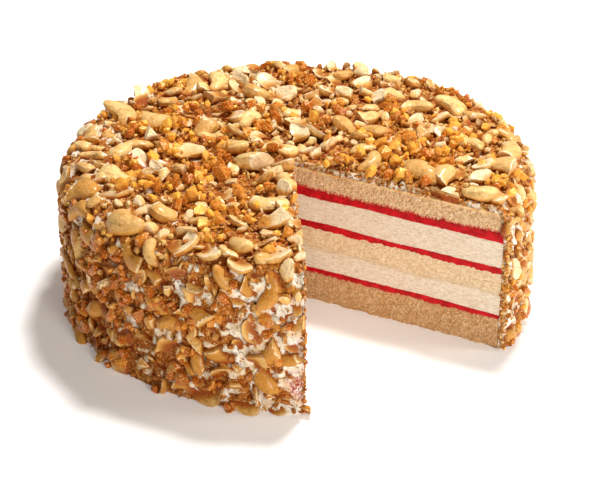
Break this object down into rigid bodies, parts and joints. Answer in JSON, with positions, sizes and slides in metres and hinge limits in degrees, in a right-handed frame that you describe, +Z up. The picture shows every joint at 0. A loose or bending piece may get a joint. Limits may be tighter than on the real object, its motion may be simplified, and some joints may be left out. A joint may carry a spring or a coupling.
{
  "type": "ice cream cake",
  "caption": "Round layered ice cream cake with a slice taken out, sponge, ice cream and jam showing, coated in cream with broken cashews and brittle.",
  "frame": {"origin": "on the cake's upright axis, at the flat base that it stands on", "axes": "+Z up; the missing slice faces -Y and +X, between azimuths -86.7 and -27.8 degrees"},
  "size_m": [0.2023, 0.2024, 0.0725],
  "materials": {
    "sponge_dark": "open crumb of sponge cake, matt, darkest at the foot",
    "sponge_pale": "loose pale yellow sponge crumb, matt",
    "sponge_tan": "open tan sponge crumb, matt",
    "jam": "crimson jam, moist, drawn out at its edges by the knife",
    "ice_cream": "cream coloured ice cream with fine knife streaks, satin",
    "caramel": "thin golden caramel, glossy",
    "nut_coat": "white whipped cream under golden cashew pieces and glossy amber brittle"
  },
  "bodies": {
    "root": {"sponge_bottom": "sponge_dark", "jam_lower": "jam", "ice_cream_lower": "ice_cream", "sponge_middle": "sponge_pale", "jam_middle": "jam", "ice_cream_upper": "ice_cream", "jam_upper": "jam", "sponge_top": "sponge_tan", "caramel": "caramel", "nut_coat": "nut_coat"}
  },
  "joints": []
}
